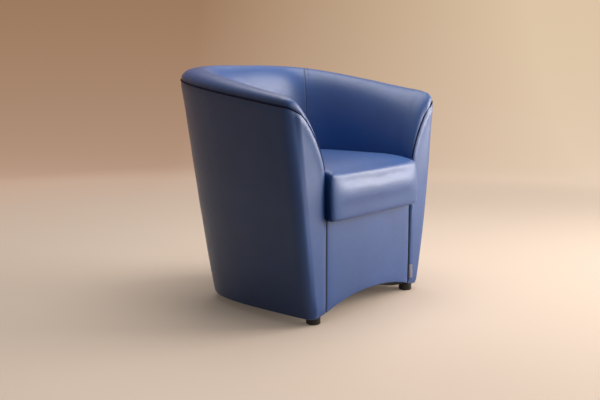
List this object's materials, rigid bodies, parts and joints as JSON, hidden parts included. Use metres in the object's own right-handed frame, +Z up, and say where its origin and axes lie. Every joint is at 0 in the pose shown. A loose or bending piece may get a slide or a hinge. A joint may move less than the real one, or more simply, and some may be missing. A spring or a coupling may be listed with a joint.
{
  "type": "tub chair",
  "caption": "Low tub armchair with a flared, padded horseshoe of arms and back, a thick fixed seat, piping along the rim and short round feet.",
  "frame": {"origin": "on the floor, under the middle of the whole chair's box", "axes": "+Z up, the chair faces -Y, +X to the right when it is seen from the front"},
  "size_m": [0.7222, 0.5702, 0.701],
  "materials": {
    "leatherette": "smooth, slightly glossy blue leatherette",
    "piping_leatherette": "smooth dark blue leatherette",
    "foam": "matt cut foam",
    "wadding": "matt fibre wadding",
    "fibreboard": "matt fibreboard",
    "timber": "sawn timber",
    "webbing": "woven elastic webbing",
    "black_plastic": "matt black plastic",
    "steel": "zinc plated",
    "black_cloth": "non-woven black cloth",
    "woven_tag": "pale woven tape"
  },
  "bodies": {
    "root": {"outer_right_arm_cover": "leatherette", "outer_right_arm_wadding": "wadding", "outer_right_arm_tack_board": "fibreboard", "inner_right_arm_cover": "leatherette", "inner_right_arm_foam": "foam", "inner_right_arm_lining": "fibreboard", "outer_back_cover": "leatherette", "outer_back_wadding": "wadding", "outer_back_tack_board": "fibreboard", "inner_back_cover": "leatherette", "inner_back_foam": "foam", "inner_back_lining": "fibreboard", "outer_left_arm_cover": "leatherette", "outer_left_arm_wadding": "wadding", "outer_left_arm_tack_board": "fibreboard", "inner_left_arm_cover": "leatherette", "inner_left_arm_foam": "foam", "inner_left_arm_lining": "fibreboard", "top_rail": "timber", "base_ring": "timber", "seat_ledge": "timber", "side_post_right": "timber", "side_post_left": "timber", "rear_post_right": "timber", "rear_post_left": "timber", "arm_front_board_right": "timber", "arm_front_board_left": "timber", "front_top_rail": "timber", "front_lower_rail": "timber", "seat_board": "timber", "arm_front_pad_right": "foam", "arm_front_pad_left": "foam", "seat_foam": "foam", "front_panel_cover": "leatherette", "front_panel_board": "fibreboard", "seat_cover": "leatherette", "long_webbing_1": "webbing", "long_webbing_2": "webbing", "long_webbing_3": "webbing", "long_webbing_4": "webbing", "cross_webbing_1": "webbing", "cross_webbing_2": "webbing", "cross_webbing_3": "webbing", "seat_bolt_front_right": "steel", "foot_front_right": "black_plastic", "foot_screw_front_right": "steel", "seat_bolt_front_left": "steel", "foot_front_left": "black_plastic", "foot_screw_front_left": "steel", "seat_bolt_rear_right": "steel", "foot_rear_right": "black_plastic", "foot_screw_rear_right": "steel", "seat_bolt_rear_left": "steel", "foot_rear_left": "black_plastic", "foot_screw_rear_left": "steel", "dust_cover": "black_cloth", "piping": "piping_leatherette", "tag": "woven_tag"}
  },
  "joints": []
}
